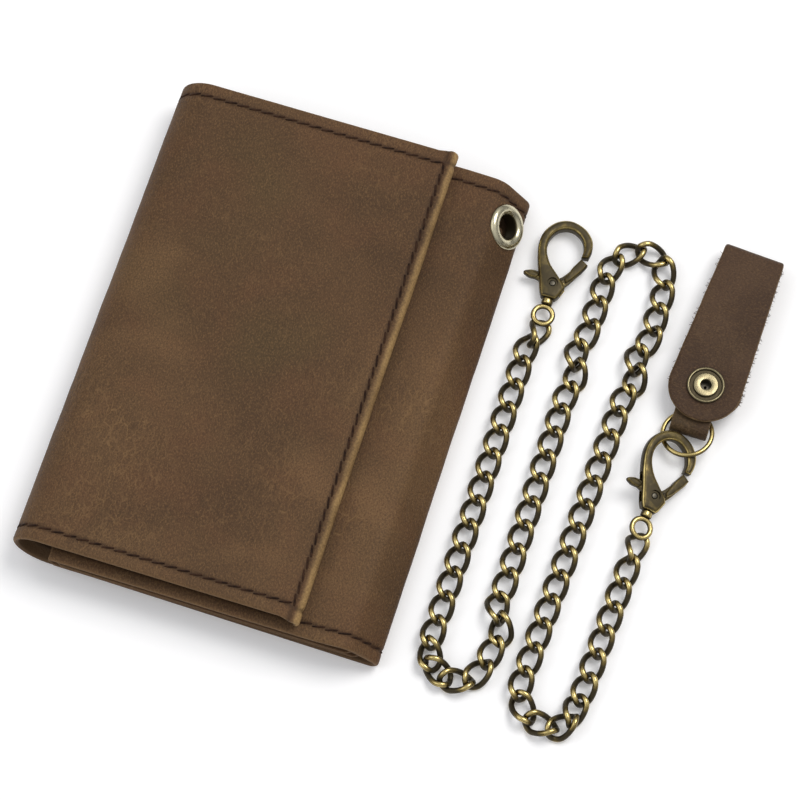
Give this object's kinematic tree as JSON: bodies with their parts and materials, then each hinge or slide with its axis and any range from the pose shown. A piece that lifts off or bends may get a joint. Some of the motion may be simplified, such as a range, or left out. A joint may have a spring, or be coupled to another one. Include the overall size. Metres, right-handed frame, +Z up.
{
  "type": "chain wallet",
  "caption": "Folded leather wallet with a front flap, a metal eyelet, a curb chain with trigger clasps at both ends, a key ring and a snap belt strap.",
  "frame": {"origin": "middle of the back cover's outer face, on which the folded wallet lies", "axes": "+Z up from the back cover, +Y along the spine towards the eyelet's end, +X from the left fold towards the chain"},
  "size_m": [0.1602, 0.1357, 0.0166],
  "materials": {
    "wallet_leather": "oiled brown pull-up leather",
    "lining_leather": "thin brown lining leather",
    "strap_leather": "dark brown strap leather, raw edges",
    "antique_brass": "antique brass, dark in the hollows",
    "pale_brass": "pale polished brass",
    "spring_steel": "dark steel"
  },
  "bodies": {
    "wallet": {"back_cover": "wallet_leather", "right_spine": "wallet_leather", "bill_divider": "lining_leather", "centre_pocket_backing": "lining_leather", "centre_card_pocket_upper": "lining_leather", "centre_card_pocket_lower": "lining_leather"},
    "spine": {"left_spine": "wallet_leather"},
    "flap": {"flap_cover": "wallet_leather", "flap_lining": "lining_leather", "flap_card_pocket": "lining_leather"},
    "right_panel": {"right_panel_cover": "wallet_leather", "right_panel_lining": "lining_leather", "right_card_pocket": "lining_leather", "eyelet": "pale_brass", "eyelet_washer": "pale_brass"},
    "chain_set": {"chain": "antique_brass", "chain_end_link_1": "antique_brass", "chain_end_link_2": "antique_brass", "clasp_1_swivel_eye": "antique_brass", "clasp_2_body": "antique_brass", "clasp_2_lever_pin": "spring_steel", "clasp_2_spring": "spring_steel", "strap_back": "strap_leather", "strap_fold": "strap_leather", "strap_ring_tab": "strap_leather", "snap_socket": "pale_brass", "snap_cap": "pale_brass"},
    "clasp_1": {"clasp_1_body": "antique_brass", "clasp_1_lever_pin": "spring_steel", "clasp_1_spring": "spring_steel"},
    "clasp_1_trigger": {"clasp_1_lever": "antique_brass"},
    "clasp_2_eye": {"clasp_2_swivel_eye": "antique_brass"},
    "clasp_2_trigger": {"clasp_2_lever": "antique_brass"},
    "key_ring": {"key_ring": "pale_brass"},
    "strap_flap": {"strap_front": "strap_leather", "snap_flange": "pale_brass", "snap_stud": "pale_brass"}
  },
  "joints": [
    {"name": "flap_spine_fold", "type": "hinge", "parent": "wallet", "child": "spine", "pos_m": [-0.04463, 0, 0.00237], "axis": [0, -1, 0], "range_deg": [0, 88]},
    {"name": "flap_fold", "type": "hinge", "parent": "spine", "child": "flap", "pos_m": [-0.04463, 0, 0.01423], "axis": [0, -1, 0], "range_deg": [0, 88]},
    {"name": "right_panel_lift", "type": "hinge", "parent": "wallet", "child": "right_panel", "pos_m": [0.04623, 0, 0.005], "axis": [0, 1, 0], "range_deg": [0, 17.6]},
    {"name": "chain_lift", "type": "slide", "parent": "wallet", "child": "chain_set", "axis": [0, 0, 1], "range_m": [0, 0.03]},
    {"name": "clasp_1_swivel_turn", "type": "hinge", "parent": "chain_set", "child": "clasp_1", "pos_m": [0.0588, 0.0349, 0.0028], "axis": [0, 1, 0], "range_deg": [-180, 180]},
    {"name": "clasp_1_trigger_press", "type": "hinge", "parent": "clasp_1", "child": "clasp_1_trigger", "pos_m": [0.0587, 0.0436, 0.0028], "axis": [0, 0, 1], "range_deg": [0, 22], "stiffness_Nm_per_rad": 0.004, "springref_deg": -20.05},
    {"name": "clasp_2_eye_turn", "type": "hinge", "parent": "chain_set", "child": "clasp_2_eye", "pos_m": [0.0981, -0.0122, 0.0037], "axis": [0.0698, 0.9976, 0], "range_deg": [-12, 12]},
    {"name": "clasp_2_trigger_press", "type": "hinge", "parent": "chain_set", "child": "clasp_2_trigger", "pos_m": [0.09861, -0.00351, 0.00373], "axis": [0.3412, -0.0239, 0.9397], "range_deg": [0, 22], "stiffness_Nm_per_rad": 0.004, "springref_deg": -20.05},
    {"name": "key_ring_turn", "type": "hinge", "parent": "chain_set", "child": "key_ring", "pos_m": [0.1022, 0.0152, 0.0031], "axis": [-0.1616, 0.1224, 0.9792], "continuous": true},
    {"name": "strap_open", "type": "hinge", "parent": "chain_set", "child": "strap_flap", "pos_m": [0.10543, 0.06388, 0.00685], "axis": [-0.9981, 0.061, 0], "range_deg": [0, 150]}
  ],
  "couplings": [
    {"joint": "flap_fold", "follows": "flap_spine_fold", "ratio": 1},
    {"joint": "right_panel_lift", "follows": "flap_spine_fold", "ratio": 0.2}
  ]
}
